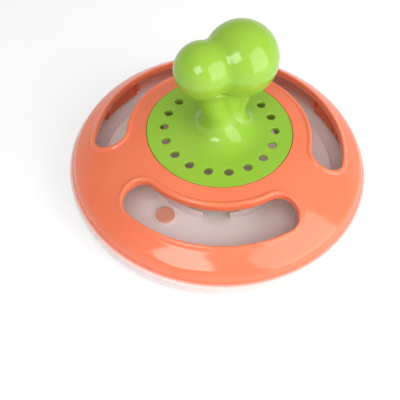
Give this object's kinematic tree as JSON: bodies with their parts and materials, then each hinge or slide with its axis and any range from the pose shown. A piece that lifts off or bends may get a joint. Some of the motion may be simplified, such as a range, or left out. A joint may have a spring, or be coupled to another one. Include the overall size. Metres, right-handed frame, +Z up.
{
  "type": "treat dispensing toy",
  "caption": "Round wobbling treat dispensing toy: weighted bowl, domed shell with arc windows, and a twist-lock lid with scent holes and a bone-shaped handle.",
  "frame": {"origin": "on the toy's axis, in the plane that the foot ring stands on", "axes": "+Z up along the toy's axis, one window faces -Y"},
  "size_m": [0.2, 0.2, 0.1262],
  "materials": {
    "shell": "glossy moulded plastic",
    "bowl": "glossy milky plastic",
    "tray": "satin milky plastic",
    "plugs": "soft satin plastic",
    "ballast": "rough cast, oiled",
    "screws": "zinc plated",
    "foot": "matte",
    "seal": "matte silicone",
    "lid": "glossy moulded plastic",
    "knob": "glossy moulded plastic",
    "cap": "satin moulded plastic"
  },
  "bodies": {
    "base": {"top_shell": "shell", "base_bowl": "bowl", "floor_tray": "tray", "ballast_ring": "ballast", "ballast_screws": "screws", "tray_screws": "screws", "foot_ring": "foot", "floor_plug_1": "plugs", "floor_plug_2": "plugs", "floor_plug_3": "plugs"},
    "seal": {"lid_seal": "seal"},
    "lid_set": {"lid": "lid", "bone_knob": "knob", "knob_screw": "screws", "stem_cap": "cap"}
  },
  "joints": [
    {"name": "lid_lift", "type": "slide", "parent": "base", "child": "seal", "axis": [0, 0, 1], "range_m": [0, 0.06]},
    {"name": "lid_twist", "type": "hinge", "parent": "seal", "child": "lid_set", "pos_m": [0, 0, 0.0514], "axis": [0, 0, 1], "range_deg": [0, 35]}
  ]
}
